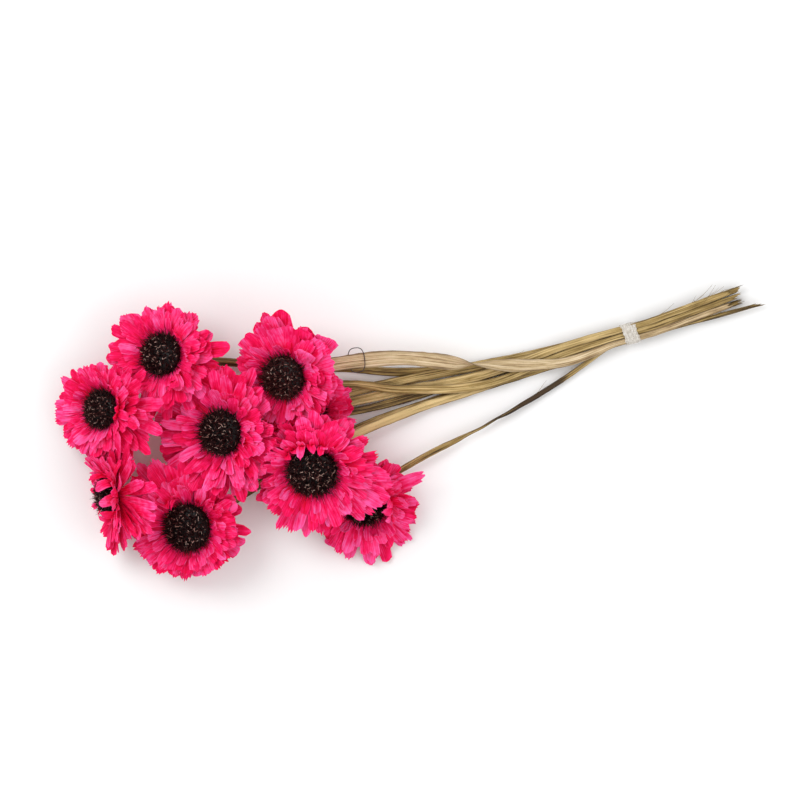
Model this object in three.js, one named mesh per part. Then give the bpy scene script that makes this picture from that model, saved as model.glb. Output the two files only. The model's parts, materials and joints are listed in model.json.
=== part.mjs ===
// A tied bunch of nine dried gerberas lying on its side. Millimetres, +Z up.
//
// Every flower is a bristly seed disc on a receptacle, with an inner and an outer whorl of papery petals,
// carried by one flat, strap-like dried stem. The stems fan out from a clear tape tie near their cut ends.
// +X runs along the bunch from the flowers to the cut ends, and the bunch rests on Z = 0.

import * as THREE from "three";

// Flower heads
const HEAD_RADIUS = 41; // from the middle of a flower to its outer petal tips
const OUTER_RISE = 6; // how far the outer petal tips stand above their roots
const INNER_RADIUS = 30; // to the inner petal tips
const INNER_RISE = 10;
const PETAL_THICKNESS = 1.2;
const PETALS_PER_WHORL = 12;
const NOTCH_DEPTH = 8; // how far the gaps between petals run in from the tips
const DISC_RADIUS = 18;
const DISC_HEIGHT = 12;
const CORE_RADIUS = 6; // the part of the receptacle that the petals are bound to
const CALYX_RADIUS = 13;
const CALYX_LENGTH = 12;

// Stems
const STEM_WIDTH = 6.5;
const WIDE_STEM_WIDTH = 11; // of the stem of flower 6, a broad strap on top of the bunch
const STEM_THICKNESS = 1.4;
const FOLDED_WIDTH = 4.4; // a stem is folded lengthwise where the tie holds it, and in its tail
const FOLDED_THICKNESS = 2.2;
const STEM_REACH = 316; // from the tie to the middle of the cluster of flowers
const TAIL_LENGTH = 88; // from the tie to the cut ends

// Tie
const TIE_WIDTH = 11;
const TIE_THICKNESS = 0.8;

// The loop of thin wire hooked round the stem of flower 6
const WIRE_DIAMETER = 0.9;
const WIRE_LOOP_LENGTH = 18.5; // across the stem
const WIRE_LOOP_WIDTH = 12; // along the stem
const WIRE_OFFSET = 0.9; // of the middle of the loop from the middle of the strap
const WIRE_PLACE = 0.6465; // share of the reach from the tie

const GAP = 0.3; // left between pieces that touch

// Facets
const ROUND_STEPS = 14;
const STEM_STEP = 15; // length of one step along a stem

const DEGREE = Math.PI / 180;

const material = (name, color, roughness, metalness = 0) =>
  new THREE.MeshStandardMaterial({ name, color, roughness, metalness });

const PETAL_OUTER = material("petal_outer", 0xf0256a, 0.75);
const PETAL_INNER = material("petal_inner", 0xe0185a, 0.75);
const SEED = material("seed", 0x2a1012, 0.7);
const CALYX = material("calyx", 0x9a8a50, 0.85);
const STRAW = material("straw", 0xb8a070, 0.8);
const TAPE = material("tape", 0xe0dcd4, 0.4);
const WIRE = material("wire", 0x4a4038, 0.5, 0.8);

// ---------------------------------------------------------------- flower layout

// Each flower: the place of its disc in the cluster (along X and across Y) and the height of the lower end of its
// calyx above the floor, all in head radii, how far and towards which compass angle (0 is +X, 90 is +Y) it leans
// from facing straight up, and its size beside the standard head.
const FLOWERS = [
  { along: -0.7, across: 2.01, height: 0.69, lean: 25, toward: 150, size: 0.97 },
  { along: -2.05, across: 1.35, height: 0.56, lean: 36, toward: 160, size: 0.88 },
  { along: -2.4, across: -0.23, height: 0.52, lean: 60, toward: 175, size: 0.84 },
  { along: -1.12, across: -1.19, height: 0.39, lean: 20, toward: 190, size: 1.03 },
  { along: -0.06, across: 0.33, height: 0.83, lean: 30, toward: 170, size: 1.05 },
  { along: 1.33, across: 0.97, height: 0.89, lean: 25, toward: 190, size: 1 },
  { along: 1.38, across: -0.86, height: 0.92, lean: 26, toward: 245, size: 1.06 },
  { along: 2.13, across: -1.73, height: 0.1, lean: 30, toward: 260, size: 1 },
  { along: 1.66, across: 0.26, height: 0.23, lean: 12, toward: 90, size: 0.74 },
];

const collarTop = 0; // heights in a flower's own frame, +Z out of its face
const innerRoot = collarTop;
const outerRoot = innerRoot - PETAL_THICKNESS - GAP;
const calyxTop = outerRoot - PETAL_THICKNESS - GAP;
const calyxBottom = calyxTop - CALYX_LENGTH;
const discMiddle = DISC_HEIGHT / 2;

function facing(flower) {
  const lean = flower.lean * DEGREE;
  const toward = flower.toward * DEGREE;
  return new THREE.Vector3(
    Math.sin(lean) * Math.cos(toward),
    Math.sin(lean) * Math.sin(toward),
    Math.cos(lean),
  );
}

// The base of a flower, placed so that the middle of its disc is over its place in the cluster.
function baseOf(flower) {
  const normal = facing(flower);
  const toDisc = discMiddle * flower.size;
  return new THREE.Vector3(
    -STEM_REACH + flower.along * HEAD_RADIUS - normal.x * toDisc,
    flower.across * HEAD_RADIUS - normal.y * toDisc,
    flower.height * HEAD_RADIUS - normal.z * calyxBottom * flower.size,
  );
}

// ---------------------------------------------------------------- shapes

// A closed body from rings of equal point count: joined ring to ring, and the last ring back to the first.
function closedLoop(rings) {
  const count = rings[0].length;
  const triangles = [];
  rings.forEach((ring, i) => {
    const next = (i + 1) % rings.length;
    for (let j = 0; j < count; j++) {
      const k = (j + 1) % count;
      const [a, b, c, d] = [i * count + j, i * count + k, next * count + k, next * count + j];
      triangles.push(a, b, c, a, c, d);
    }
  });
  return bufferGeometry(rings.flat(), triangles);
}

function bufferGeometry(points, triangles) {
  const geometry = new THREE.BufferGeometry().setFromPoints(points);
  geometry.setIndex(triangles);
  geometry.computeVertexNormals();
  return geometry;
}

// A whorl of petals: a collar that rises outwards into a cup with a notched rim.
function whorlGeometry(tipRadius, rise, root) {
  const shoulder = DISC_RADIUS + GAP;
  const notch = Math.min(NOTCH_DEPTH, 0.6 * (tipRadius - shoulder));
  const cup = (r) => rise * Math.max(0, (r - shoulder) / (tipRadius - shoulder)) ** 1.3;
  const stations = 2 * PETALS_PER_WHORL;
  const ring = (radiusAt, drop) =>
    Array.from({ length: stations }, (_, j) => {
      const angle = (j / stations) * 2 * Math.PI;
      const r = radiusAt(j % 2 ? tipRadius - notch : tipRadius);
      return new THREE.Vector3(r * Math.cos(angle), r * Math.sin(angle), root + cup(r) - drop);
    });
  const radii = [() => CORE_RADIUS + GAP, () => shoulder, (rim) => (shoulder + rim) / 2, (rim) => rim];
  const top = radii.map((at) => ring(at, 0)).reverse();
  const bottom = radii.map((at) => ring(at, PETAL_THICKNESS));
  return closedLoop([...top, ...bottom]);
}

function latheGeometry(profile) {
  return new THREE.LatheGeometry(profile.map(([r, z]) => new THREE.Vector2(r, z)), ROUND_STEPS).rotateX(
    Math.PI / 2,
  );
}

// The seed disc: a dome with an upright side.
function discGeometry() {
  const side = DISC_HEIGHT * 0.3;
  const dome = [0, 30, 60].map((a) => [
    DISC_RADIUS * Math.cos(a * DEGREE),
    GAP + side + (DISC_HEIGHT - side) * Math.sin(a * DEGREE),
  ]);
  return latheGeometry([[0, GAP], [DISC_RADIUS, GAP], ...dome, [0, GAP + DISC_HEIGHT]]);
}

// The receptacle and calyx: a core up the middle of both whorls, on a cone that tapers to the stem.
function calyxGeometry() {
  return latheGeometry([
    [0, calyxBottom],
    [STEM_WIDTH / 2, calyxBottom],
    [CALYX_RADIUS * 0.7, calyxTop - CALYX_LENGTH * 0.45],
    [CALYX_RADIUS, calyxTop],
    [CORE_RADIUS, calyxTop],
    [CORE_RADIUS, collarTop],
    [0, collarTop],
  ]);
}

// ---------------------------------------------------------------- stems

// Slots in the tie, three across and three high, for the stems of flowers 1 to 9.
const SLOTS = [
  { column: 1, row: 0 },
  { column: 0, row: 2 },
  { column: 1, row: 2 },
  { column: -1, row: 0 },
  { column: 1, row: 1 },
  { column: -1, row: 2 },
  { column: 0, row: 1 },
  { column: -1, row: 1 },
  { column: 0, row: 0 },
];
const slotPitchY = FOLDED_WIDTH + GAP;
const slotPitchZ = FOLDED_THICKNESS + GAP;
const slotFloor = TIE_THICKNESS + GAP;

// Where along the bunch the stems are guided, as distances back from the tie.
const STATIONS = {
  loose: 0.17 * STEM_REACH,
  bound: 0.37 * STEM_REACH,
  fanned: 0.56 * STEM_REACH,
  front: STEM_REACH - 2.5 * HEAD_RADIUS,
  under: STEM_REACH - 1.3 * HEAD_RADIUS,
};

// How the stem of each flower runs. At each station it passes, it has a side lane and a layer up from the floor,
// in strap widths and strap layers.
const STEM_ROUTES = [
  { loose: [0.8, 0.25], bound: [1.2, 0], fanned: [3, 0], front: [5, 0], under: [7.4, 0.5] },
  { loose: [-0.25, 2.25], bound: [-1, 2.5], fanned: [1, 2.4], front: [3.1, 2], under: [4.4, 1.5] },
  { loose: [0.8, 2.25], bound: [0.1, 1.8], fanned: [0.85, 0.7], front: [1.2, 0.4], under: [1.4, 0.4] },
  { loose: [-1.3, 0.25], bound: [-1.2, 0], fanned: [-1.3, 0], front: [-1.7, 0], under: [-3.3, 0.3] },
  { loose: [0.8, 1.25], bound: [1.2, 1], fanned: [1.95, 1], front: [2.3, 1], under: [2.5, 1] },
  { loose: [-1.3, 3.25], bound: [1.35, 4.2], fanned: [4.6, 7] },
  { loose: [-0.35, 1.25], bound: [-1.2, 1.1], fanned: [-1.6, 3] },
  { loose: [-3.2, 1], bound: [-5.1, 1.2], fanned: [-6.9, 2.5] },
  { loose: [-0.25, 0.25], bound: [0, 0], fanned: [-0.1, 0], front: [0.1, 2] },
];

// The flower whose stem is the broad strap, which the loop of wire is hooked on.
const WIDE_STEM = 6;

// The two straps that turn over, by flower number, and the shares of the reach between which they do.
const TURNS = { 6: [0.25, 0.5], 8: [0.12, 0.6] };

// Each cut end: its distance from the tie as a share of the tail length, and the sideways drift of a whole tail.
const TAILS = [
  { length: 0.93, drift: 5 },
  { length: 0.97, drift: 5 },
  { length: 0.9, drift: 5 },
  { length: 0.98, drift: 5 },
  { length: 1, drift: 5 },
  { length: 0.88, drift: 5 },
  { length: 0.95, drift: 5 },
  { length: 1.14, drift: -1 },
  { length: 0.92, drift: 5 },
];

const smooth = (t) => t * t * (3 - 2 * t);
const clamp01 = (t) => Math.min(1, Math.max(0, t));

// A stem is folded in the tie and opens out flat by the second station.
const foldAt = (distance) => 1 - clamp01((distance - TIE_WIDTH) / (STATIONS.bound - TIE_WIDTH));
const widthAt = (distance, open = STEM_WIDTH) => THREE.MathUtils.lerp(open, FOLDED_WIDTH, foldAt(distance));
const openWidth = (index) => (index + 1 === WIDE_STEM ? WIDE_STEM_WIDTH : STEM_WIDTH);
const thicknessAt = (distance) => THREE.MathUtils.lerp(STEM_THICKNESS, FOLDED_THICKNESS, foldAt(distance));

function slotOf(index) {
  const { column, row } = SLOTS[index];
  return new THREE.Vector3(0, column * slotPitchY, slotFloor + (row + 0.5) * slotPitchZ);
}

function stemCurve(index) {
  const flower = FLOWERS[index];
  const route = STEM_ROUTES[index];
  const slot = slotOf(index);
  const normal = facing(flower);
  const end = baseOf(flower).addScaledVector(normal, calyxBottom * flower.size - GAP);
  const neck = end.clone().addScaledVector(normal, -Math.min(10, end.z / 3));
  const places = Object.entries(STATIONS)
    .filter(([station]) => route[station])
    .map(([station, distance]) => {
      const [lane, layer] = route[station];
      const sideways = lane * (widthAt(distance) + GAP);
      return new THREE.Vector3(-distance, sideways, STEM_THICKNESS / 2 + layer * slotPitchZ);
    });
  const held = TIE_WIDTH / 2 + 2;
  const straight = [2 * held, held, -held, -2 * held].map((x) => slot.clone().setX(x));
  const { length, drift } = TAILS[index];
  const tail = slot.clone().add(new THREE.Vector3(TAIL_LENGTH, drift, 0).multiplyScalar(length));
  return new THREE.CatmullRomCurve3([tail, ...straight, ...places, neck, end], false, "centripetal");
}

// Sections of a strap along its curve: its middle, and which way it is wide and which way thick. The strap keeps
// its side level, except where it turns over.
function stemSections(index) {
  const curve = stemCurve(index);
  const turns = TURNS[index + 1];
  const side = new THREE.Vector3(0, 1, 0);
  const last = curve.points.length - 1;
  const places = curve.points.slice(1).flatMap((to, i) => {
    const steps = Math.max(1, Math.round(to.distanceTo(curve.points[i]) / STEM_STEP));
    return Array.from({ length: steps }, (_, j) => (i + j / steps) / last);
  });
  return [...places, 1].map((place) => {
    const middle = curve.getPoint(place);
    const along = curve.getTangent(place);
    side.addScaledVector(along, -side.dot(along)).normalize();
    const share = -middle.x / STEM_REACH;
    const turn = turns ? Math.PI * smooth(clamp01((share - turns[0]) / (turns[1] - turns[0]))) : 0;
    const across = side.clone().applyAxisAngle(along, turn);
    const up = new THREE.Vector3().crossVectors(along, across);
    return { middle, across, up };
  });
}

// A strap with a four-cornered section.
function stemGeometry(index) {
  const rings = stemSections(index).map(({ middle, across, up }) => {
    const halfWidth = widthAt(-middle.x, openWidth(index)) / 2;
    const halfThickness = thicknessAt(-middle.x) / 2;
    return [[-1, -1], [1, -1], [1, 1], [-1, 1]].map(([w, t]) =>
      middle.clone().addScaledVector(across, w * halfWidth).addScaledVector(up, t * halfThickness),
    );
  });
  return loft(rings);
}

// A slanting, squarish loop of wire round the stem of a flower, which clears both edges of the strap.
function wireGeometry(index) {
  const sections = stemSections(index);
  const place = -WIRE_PLACE * STEM_REACH;
  const after = sections.findIndex(({ middle }) => middle.x < place);
  const [from, to] = [sections[after - 1], sections[after]];
  const share = (place - from.middle.x) / (to.middle.x - from.middle.x);
  const between = (key) => from[key].clone().lerp(to[key], share);
  const middle = between("middle");
  const wide = between("across").normalize();
  const thick = between("up").normalize();
  const along = new THREE.Vector3().crossVectors(wide, thick);
  const up = thick.clone().multiplyScalar(Math.sign(thick.z));
  const across = wide.clone().multiplyScalar(Math.sign(wide.y));
  const squarish = (value) => Math.sign(value) * Math.abs(value) ** 0.7;
  const edge = (openWidth(index) + 2 * WIRE_OFFSET) / WIRE_LOOP_LENGTH; // share of the loop's half length
  const clear = (STEM_THICKNESS + WIRE_DIAMETER) / 2 + GAP; // to pass over and under the strap from its edge on
  const rise = clear / squarish(Math.sqrt(1 - edge ** (2 / 0.7)));
  const points = Array.from({ length: 16 }, (_, i) => {
    const angle = (i / 16) * 2 * Math.PI;
    return middle
      .clone()
      .addScaledVector(across, WIRE_OFFSET + (WIRE_LOOP_LENGTH / 2) * squarish(Math.cos(angle)))
      .addScaledVector(along, (WIRE_LOOP_WIDTH / 2) * squarish(Math.sin(angle)))
      .addScaledVector(up, -rise * squarish(Math.sin(angle)));
  });
  const path = new THREE.CatmullRomCurve3(points, true);
  return new THREE.TubeGeometry(path, 24, WIRE_DIAMETER / 2, 5, true);
}

// A closed body through open rings of points, with a flat cap on each end.
function loft(rings) {
  const count = rings[0].length;
  const triangles = [];
  for (let i = 0; i + 1 < rings.length; i++) {
    for (let j = 0; j < count; j++) {
      const k = (j + 1) % count;
      const [a, b, c, d] = [i * count + j, i * count + k, (i + 1) * count + k, (i + 1) * count + j];
      triangles.push(a, b, c, a, c, d);
    }
  }
  const last = (rings.length - 1) * count;
  for (let j = 1; j + 1 < count; j++) {
    triangles.push(0, j + 1, j, last, last + j, last + j + 1);
  }
  return bufferGeometry(rings.flat(), triangles);
}

// ---------------------------------------------------------------- tie

function roundedRectangle(path, halfWidth, low, high, radius) {
  path.moveTo(-halfWidth + radius, low);
  path.lineTo(halfWidth - radius, low);
  path.absarc(halfWidth - radius, low + radius, radius, -Math.PI / 2, 0);
  path.absarc(halfWidth - radius, high - radius, radius, 0, Math.PI / 2);
  path.absarc(-halfWidth + radius, high - radius, radius, Math.PI / 2, Math.PI);
  path.absarc(-halfWidth + radius, low + radius, radius, Math.PI, 1.5 * Math.PI);
  return path;
}

function tieGeometry() {
  const halfWidth = 1.5 * slotPitchY + GAP;
  const high = slotFloor + 3 * slotPitchZ + GAP;
  const low = slotFloor - GAP;
  const corner = 0.5;
  const outline = roundedRectangle(
    new THREE.Shape(),
    halfWidth + TIE_THICKNESS,
    low - TIE_THICKNESS,
    high + TIE_THICKNESS,
    corner + TIE_THICKNESS,
  );
  outline.holes.push(roundedRectangle(new THREE.Path(), halfWidth, low, high, corner));
  return new THREE.ExtrudeGeometry(outline, { depth: TIE_WIDTH, bevelEnabled: false, curveSegments: 3 })
    .translate(0, 0, -TIE_WIDTH / 2)
    .applyMatrix4(new THREE.Matrix4().set(0, 0, 1, 0, 1, 0, 0, 0, 0, 1, 0, 0, 0, 0, 0, 1));
}

// ---------------------------------------------------------------- assembly

const bunch = new THREE.Group();

function addPiece(name, geometry, pieceMaterial, parent = bunch) {
  const mesh = new THREE.Mesh(geometry, pieceMaterial);
  mesh.name = name;
  parent.add(mesh);
}

FLOWERS.forEach((flower, index) => {
  const head = new THREE.Group();
  head.position.copy(baseOf(flower));
  head.quaternion.setFromUnitVectors(new THREE.Vector3(0, 0, 1), facing(flower));
  head.scale.setScalar(flower.size);
  const number = index + 1;
  addPiece(`seed_disc_${number}`, discGeometry(), SEED, head);
  addPiece(`inner_petals_${number}`, whorlGeometry(INNER_RADIUS, INNER_RISE, innerRoot), PETAL_INNER, head);
  addPiece(`outer_petals_${number}`, whorlGeometry(HEAD_RADIUS, OUTER_RISE, outerRoot), PETAL_OUTER, head);
  addPiece(`calyx_${number}`, calyxGeometry(), CALYX, head);
  bunch.add(head);
  addPiece(`stem_${number}`, stemGeometry(index), STRAW);
});

addPiece("tape_tie", tieGeometry(), TAPE);
addPiece("binding_wire", wireGeometry(WIDE_STEM - 1), WIRE);

// The part's origin is under the middle of its box.
const box = new THREE.Box3().setFromObject(bunch, true);
const middle = box.getCenter(new THREE.Vector3());
bunch.position.set(-middle.x, -middle.y, -box.min.z);

export default bunch;
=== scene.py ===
import json
import math

import bpy
import numpy as np
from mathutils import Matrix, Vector

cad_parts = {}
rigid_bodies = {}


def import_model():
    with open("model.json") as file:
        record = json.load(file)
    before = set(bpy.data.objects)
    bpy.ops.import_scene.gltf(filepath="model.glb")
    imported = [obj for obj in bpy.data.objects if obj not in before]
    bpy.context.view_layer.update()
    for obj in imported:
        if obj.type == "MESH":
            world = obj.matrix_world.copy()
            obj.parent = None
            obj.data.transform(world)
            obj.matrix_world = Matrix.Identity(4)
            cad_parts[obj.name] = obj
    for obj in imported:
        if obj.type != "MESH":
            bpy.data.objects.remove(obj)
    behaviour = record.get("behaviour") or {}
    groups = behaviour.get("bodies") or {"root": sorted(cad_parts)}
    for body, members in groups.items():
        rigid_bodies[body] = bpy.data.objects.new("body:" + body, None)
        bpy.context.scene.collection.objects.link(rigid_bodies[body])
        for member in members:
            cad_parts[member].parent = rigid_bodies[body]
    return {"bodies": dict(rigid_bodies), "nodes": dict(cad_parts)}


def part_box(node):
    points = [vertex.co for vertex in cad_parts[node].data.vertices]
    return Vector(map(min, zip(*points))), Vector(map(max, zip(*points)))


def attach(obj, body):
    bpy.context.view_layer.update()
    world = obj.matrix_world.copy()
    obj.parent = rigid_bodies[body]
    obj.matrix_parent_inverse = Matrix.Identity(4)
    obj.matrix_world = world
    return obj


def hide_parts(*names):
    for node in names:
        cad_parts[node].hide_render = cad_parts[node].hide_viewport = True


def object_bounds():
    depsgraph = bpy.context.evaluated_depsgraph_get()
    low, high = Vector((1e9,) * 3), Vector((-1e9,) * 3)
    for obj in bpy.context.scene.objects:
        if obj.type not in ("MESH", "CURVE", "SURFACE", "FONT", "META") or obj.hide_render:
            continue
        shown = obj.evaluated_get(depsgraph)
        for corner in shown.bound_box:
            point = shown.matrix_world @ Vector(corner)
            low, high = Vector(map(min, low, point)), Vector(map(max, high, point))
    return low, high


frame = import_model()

for spare in list(bpy.data.objects):
    if spare not in frame["nodes"].values() and spare not in frame["bodies"].values():
        bpy.data.objects.remove(spare)
bpy.context.view_layer.update()
cad_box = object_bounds()

MM = 0.001
HEADS = range(1, 10)
STANDARD_DISC = 0.018  # radius of the seed disc of a head of size 1
FLOOR_CLEARANCE = 0.5 * MM
CEILING = cad_box[1].z - 3 * MM  # petals that stand up above this bend over
CAMERA_TURN = -16  # about the vertical, in degrees


# -------------------- helpers


def unit(v):
    v = np.asarray(v, float)
    return v / np.maximum(np.linalg.norm(v, axis=-1, keepdims=True), 1e-12)


def smoothstep(t):
    t = np.clip(t, 0, 1)
    return t * t * (3 - 2 * t)


def node_points(name):
    """The distinct vertices of a CAD node, and its triangles as indices into them."""
    mesh = frame["nodes"][name].data
    points = np.array([v.co for v in mesh.vertices])
    distinct, index = np.unique(points.round(6), axis=0, return_inverse=True)
    index = np.asarray(index).ravel()
    mesh.calc_loop_triangles()
    triangles = index[np.array([t.vertices for t in mesh.loop_triangles])]
    return distinct, triangles


def add_object(name, points, faces, material, stands_for=(), slot=None, sharp=55, **attributes):
    mesh = bpy.data.meshes.new(name)
    mesh.from_pydata(np.asarray(points).tolist(), [], [list(map(int, f)) for f in faces])
    for key, values in attributes.items():
        values = np.asarray(values, np.float32)
        kind = "FLOAT_VECTOR" if values.ndim == 2 else "FLOAT"
        layer = mesh.attributes.new(key, kind, "POINT")
        layer.data.foreach_set("vector" if values.ndim == 2 else "value", values.ravel())
    mesh.shade_smooth()
    mesh.set_sharp_from_angle(angle=math.radians(sharp))
    mesh.materials.append(material)
    made = bpy.data.objects.new(name, mesh)
    bpy.context.scene.collection.objects.link(made)
    if slot:
        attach(made, "root")
    if stands_for:
        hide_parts(*stands_for)
    return made


class Pile:
    """Several closed bodies gathered into one mesh, with a value or vector per vertex for each named attribute."""

    def __init__(self):
        self.points, self.faces, self.values, self.count = [], [], {}, 0

    def add(self, points, faces, ends=(), **values):
        points = np.asarray(points).reshape(-1, 3)
        self.points.append(points)
        self.faces.extend((np.asarray(faces) + self.count).tolist())
        self.faces.extend((np.asarray(ends, int) + self.count).tolist())
        self.count += len(points)
        for key, v in values.items():
            self.values.setdefault(key, []).append(np.asarray(v, float))

    def build(self, name, material, **options):
        values = {k: np.concatenate(v) for k, v in self.values.items()}
        add_object(name, np.concatenate(self.points), self.faces, material, **options, **values)


def sheet_faces(along, across):
    """Faces of a closed thin sheet: an upper grid, then a lower grid of the same size, joined round the rim."""
    at = lambda i, j, low=0: low * along * across + i * across + j
    faces = []
    for i in range(along - 1):
        for j in range(across - 1):
            faces.append([at(i, j), at(i + 1, j), at(i + 1, j + 1), at(i, j + 1)])
            faces.append([at(i, j, 1), at(i, j + 1, 1), at(i + 1, j + 1, 1), at(i + 1, j, 1)])
    rim = [(i, 0) for i in range(along - 1)]
    rim += [(along - 1, j) for j in range(across - 1)]
    rim += [(i, across - 1) for i in range(along - 1, 0, -1)]
    rim += [(0, j) for j in range(across - 1, 0, -1)]
    for (a, b), (c, d) in zip(rim, rim[1:] + rim[:1]):
        faces.append([at(c, d), at(a, b), at(a, b, 1), at(c, d, 1)])
    return np.array(faces)


def tube_faces(rings, sides, closed=False):
    faces = []
    for i in range(rings if closed else rings - 1):
        n = (i + 1) % rings
        for j in range(sides):
            k = (j + 1) % sides
            faces.append([i * sides + j, i * sides + k, n * sides + k, n * sides + j])
    return faces


def end_faces(rings, sides):
    """The two flat ends of a tube through rings of points."""
    last = (rings - 1) * sides
    return [list(range(sides - 1, -1, -1)), list(range(last, last + sides))]


def resample(values, marks, places):
    """Smooth curve through the values at the given marks, read at places."""
    values, marks = np.asarray(values, float), np.asarray(marks, float)
    slopes = np.gradient(values, marks, axis=0)
    i = np.clip(np.searchsorted(marks, places, "right") - 1, 0, len(marks) - 2)
    step = (marks[i + 1] - marks[i])[:, None]
    t = ((places - marks[i])[:, None]) / step
    h00, h10 = 2 * t**3 - 3 * t**2 + 1, t**3 - 2 * t**2 + t
    h01, h11 = -2 * t**3 + 3 * t**2, t**3 - t**2
    return h00 * values[i] + h10 * step * slopes[i] + h01 * values[i + 1] + h11 * step * slopes[i + 1]


def wander(rng, places, pitch, terms=4):
    """A gentle random line, about -1 to 1, over places, whose bumps are about a pitch apart."""
    total = np.zeros(len(places))
    for k in range(terms):
        wave = rng.uniform(0.6, 1.8) * 2 * math.pi / pitch
        total += np.sin(places * wave + rng.uniform(0, 2 * math.pi)) / terms**0.5
    return total


# -------------------- materials


class Nodes:
    """A material's node tree, with short ways to add and join nodes."""

    def __init__(self, name, specular=0.5, **settings):
        self.material = bpy.data.materials.new(name)
        self.material.use_nodes = True
        self.tree = self.material.node_tree
        self.shader = self.tree.nodes["Principled BSDF"]
        self.shader.inputs["Specular IOR Level"].default_value = specular
        for key, value in settings.items():
            self.shader.inputs[key.replace("_", " ").title()].default_value = value

    def add(self, kind, inputs=None, **settings):
        node = self.tree.nodes.new(kind)
        for key, value in settings.items():
            setattr(node, key, value)
        for key, value in (inputs or {}).items():
            if isinstance(value, bpy.types.NodeSocket):
                self.tree.links.new(value, node.inputs[key])
            else:
                node.inputs[key].default_value = value
        return node

    def value(self, name, output="Fac"):
        return self.add("ShaderNodeAttribute", attribute_name=name).outputs[output]

    def noise(self, grain, across, along, detail=3.0, roughness=0.55):
        """Noise with so many bumps to a millimetre across and along the grain."""
        stretched = self.add("ShaderNodeMapping", {"Vector": grain, "Scale": (across, along, 1)}).outputs["Vector"]
        inputs = {"Vector": stretched, "Scale": 1.0, "Detail": detail, "Roughness": roughness}
        return self.add("ShaderNodeTexNoise", inputs).outputs["Fac"]

    def math(self, operation, a, b=0.5):
        return self.add("ShaderNodeMath", {0: a, 1: b}, operation=operation).outputs[0]

    def weighted(self, *terms):
        """The sum of values, each times its weight."""
        total, *others = (self.math("MULTIPLY", value, weight) for value, weight in terms)
        for other in others:
            total = self.math("ADD", total, other)
        return total

    def ramp(self, factor, stops):
        node = self.add("ShaderNodeValToRGB", {"Fac": factor})
        elements = node.color_ramp.elements
        while len(elements) < len(stops):
            elements.new(0.5)
        for element, (place, colour) in zip(elements, stops):
            element.position = place
            element.color = (*colour, 1)
        return node.outputs["Color"]

    def mix(self, factor, a, b, blend="MIX"):
        node = self.add("ShaderNodeMix", {0: factor}, data_type="RGBA", blend_type=blend)
        for socket, value in ((6, a), (7, b)):
            if isinstance(value, bpy.types.NodeSocket):
                self.tree.links.new(value, node.inputs[socket])
            else:
                node.inputs[socket].default_value = (*value, 1)
        return node.outputs[2]

    def remap(self, value, low, high):
        node = self.add("ShaderNodeMapRange", {"Value": value, "To Min": low, "To Max": high})
        return node.outputs["Result"]

    def bump(self, height, strength, distance, onto=None):
        node = self.add("ShaderNodeBump", {"Height": height, "Strength": strength, "Distance": distance})
        if onto is not None:
            self.tree.links.new(onto, node.inputs["Normal"])
        return node.outputs["Normal"]

    def drive(self, socket, value):
        self.tree.links.new(value, self.shader.inputs[socket])


def petal_material(name, deep, mid, light):
    """Dyed papery petal: fine lengthwise ribs, cloudy dye, a painted highlight towards its tip and edges and painted
    shade at its root.
    """
    m = Nodes(name, specular=0.07, Roughness=0.65)
    grain = m.value("grain", "Vector")
    ribs = m.noise(grain, 1.3, 0.05)
    cloud = m.noise(grain, 0.25, 0.16, 2.0)
    # the reach value paints shade towards a petal's root and a highlight towards its tip and edges
    shade = m.weighted((ribs, 1.0), (cloud, 0.6), (m.value("tone"), 0.34), (m.value("reach"), 0.28))
    shade = m.math("SUBTRACT", shade, 0.62)
    m.drive("Base Color", m.ramp(shade, [(0.12, deep), (0.5, mid), (0.92, light)]))
    m.drive("Roughness", m.remap(ribs, 0.5, 0.78))
    fine = m.noise(grain, 3.2, 0.12, 2.0)
    crepe = m.noise(grain, 0.9, 0.7)
    normal = m.bump(fine, 0.55, 0.35 * MM)
    m.drive("Normal", m.bump(crepe, 0.45, 0.5 * MM, onto=normal))
    return m.material


def bristle_material():
    """Dark dried seed bristles, browner at their tips, with a dull gloss."""
    m = Nodes("seed_bristle", specular=0.3, Roughness=0.45)
    speck = m.noise(m.value("grain", "Vector"), 2.0, 0.5, 2.0)
    shade = m.weighted((m.value("tone"), 0.5), (m.value("reach"), 0.35), (speck, 0.3))
    dark, mid, tip = (0.004, 0.0008, 0.001), (0.016, 0.0025, 0.003), (0.07, 0.012, 0.012)
    m.drive("Base Color", m.ramp(shade, [(0.2, dark), (0.62, mid), (1.0, tip)]))
    m.drive("Roughness", m.remap(speck, 0.3, 0.62))
    return m.material


def chaff_material():
    """Pale dry chaff lying among the bristles."""
    m = Nodes("seed_chaff", Roughness=0.45)
    speck = m.noise(m.value("grain", "Vector"), 2.0, 0.8, 2.0)
    shade = m.weighted((m.value("tone"), 0.8), (speck, 0.3))
    dark, mid, pale = (0.10, 0.03, 0.026), (0.30, 0.15, 0.12), (0.62, 0.45, 0.38)
    m.drive("Base Color", m.ramp(shade, [(0.1, dark), (0.55, mid), (1.0, pale)]))
    m.drive("Roughness", m.remap(speck, 0.35, 0.6))
    return m.material


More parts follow.
